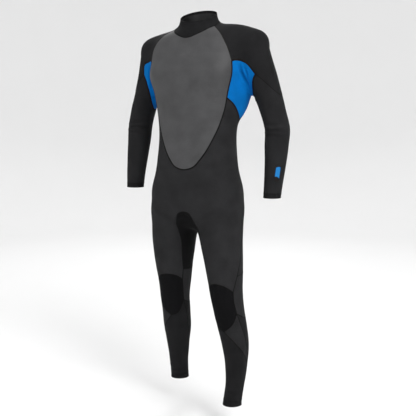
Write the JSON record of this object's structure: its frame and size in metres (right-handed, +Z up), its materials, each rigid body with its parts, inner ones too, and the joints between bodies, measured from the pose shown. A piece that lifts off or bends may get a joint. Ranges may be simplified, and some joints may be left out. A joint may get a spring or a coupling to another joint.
{
  "type": "full wetsuit",
  "caption": "Full-length back-zip wetsuit in a walking stance, with a smooth chest panel, blue underarm panels, knee pads and a tab-closed collar.",
  "frame": {"origin": "centre of the neck opening, 1478 mm above the soles of the wearer the suit is shaped on", "axes": "+X is the wearer's left, -Y is the front, +Z is up along the wearer's height"},
  "size_m": [0.674, 0.305, 1.4678],
  "materials": {
    "jersey": "knitted nylon face on foam neoprene, matt",
    "dark_jersey": "knitted nylon face on foam neoprene, matt",
    "blue_jersey": "knitted nylon face on foam neoprene, matt",
    "smooth_skin": "smooth skin neoprene, soft sheen",
    "knee_rubber": "coated abrasion pad, matt",
    "tape": "woven tape and loop pile",
    "zip_plastic": "moulded teeth",
    "zip_metal": "corrosion-proof slider metal",
    "badge": "soft moulded badge"
  },
  "bodies": {
    "suit": {"chest_panel": "smooth_skin", "shoulder_left": "dark_jersey", "shoulder_right": "dark_jersey", "underarm_left": "blue_jersey", "underarm_right": "blue_jersey", "back_panel_left": "jersey", "back_panel_right": "jersey", "front_body_panel": "jersey", "seat_panel": "jersey", "crotch_gusset": "dark_jersey", "knee_pad_left": "knee_rubber", "knee_pad_right": "knee_rubber", "back_knee_left": "jersey", "back_knee_right": "jersey", "upper_sleeve_left": "jersey", "upper_sleeve_right": "jersey", "elbow_sleeve_left": "jersey", "elbow_sleeve_right": "jersey", "collar": "dark_jersey", "neck_seal": "smooth_skin", "collar_loop_patch": "tape", "zip_tape_left": "tape", "zip_tape_right": "tape", "zip_teeth_left": "zip_plastic", "zip_teeth_right": "zip_plastic", "zip_top_stop_left": "zip_metal", "zip_top_stop_right": "zip_metal", "zip_bottom_stop": "zip_metal", "zip_flap": "dark_jersey", "zip_garage": "dark_jersey"},
    "forearm_left": {"forearm_sleeve_left": "jersey", "cuff_left": "dark_jersey", "forearm_badge_left": "badge"},
    "forearm_right": {"forearm_sleeve_right": "jersey", "cuff_right": "dark_jersey"},
    "lower_leg_left": {"calf_insert_left": "jersey", "shin_panel_left": "jersey", "calf_panel_left": "jersey", "ankle_hem_left": "dark_jersey"},
    "lower_leg_right": {"calf_insert_right": "jersey", "shin_panel_right": "jersey", "calf_panel_right": "jersey", "ankle_hem_right": "dark_jersey"},
    "slider": {"zip_slider": "zip_metal"},
    "pull": {"zip_pull_tab": "zip_metal"},
    "closure_tab": {"collar_tab": "dark_jersey"}
  },
  "joints": [
    {"name": "elbow_left", "type": "hinge", "parent": "suit", "child": "forearm_left", "pos_m": [0.302, 0.044, -0.358], "axis": [-1, 0, 0], "range_deg": [0, 90], "stiffness_Nm_per_rad": 1.2, "deforming": ["elbow_sleeve_left"]},
    {"name": "elbow_right", "type": "hinge", "parent": "suit", "child": "forearm_right", "pos_m": [-0.277, 0.044, -0.358], "axis": [-1, 0, 0], "range_deg": [0, 90], "stiffness_Nm_per_rad": 1.2, "deforming": ["elbow_sleeve_right"]},
    {"name": "knee_left", "type": "hinge", "parent": "suit", "child": "lower_leg_left", "pos_m": [0.187, -0.13, -1.013], "axis": [1, 0, 0], "range_deg": [0, 90], "stiffness_Nm_per_rad": 2, "deforming": ["knee_pad_left", "back_knee_left"]},
    {"name": "knee_right", "type": "hinge", "parent": "suit", "child": "lower_leg_right", "pos_m": [-0.1, -0.004, -1.013], "axis": [1, 0, 0], "range_deg": [0, 90], "stiffness_Nm_per_rad": 2, "deforming": ["knee_pad_right", "back_knee_right"]},
    {"name": "zip_slide", "type": "slide", "parent": "suit", "child": "slider", "axis": [0, -0.0342, 0.9994], "range_m": [-0.4266, 0]},
    {"name": "zip_pull_swing", "type": "hinge", "parent": "slider", "child": "pull", "pos_m": [0, 0.09283, -0.04237], "axis": [1, 0, 0], "range_deg": [0, 160]},
    {"name": "collar_tab_peel", "type": "hinge", "parent": "suit", "child": "closure_tab", "pos_m": [0.03155, 0.06766, 0.052], "axis": [0.0427, 0.0916, -0.9949], "range_deg": [0, 120]}
  ]
}
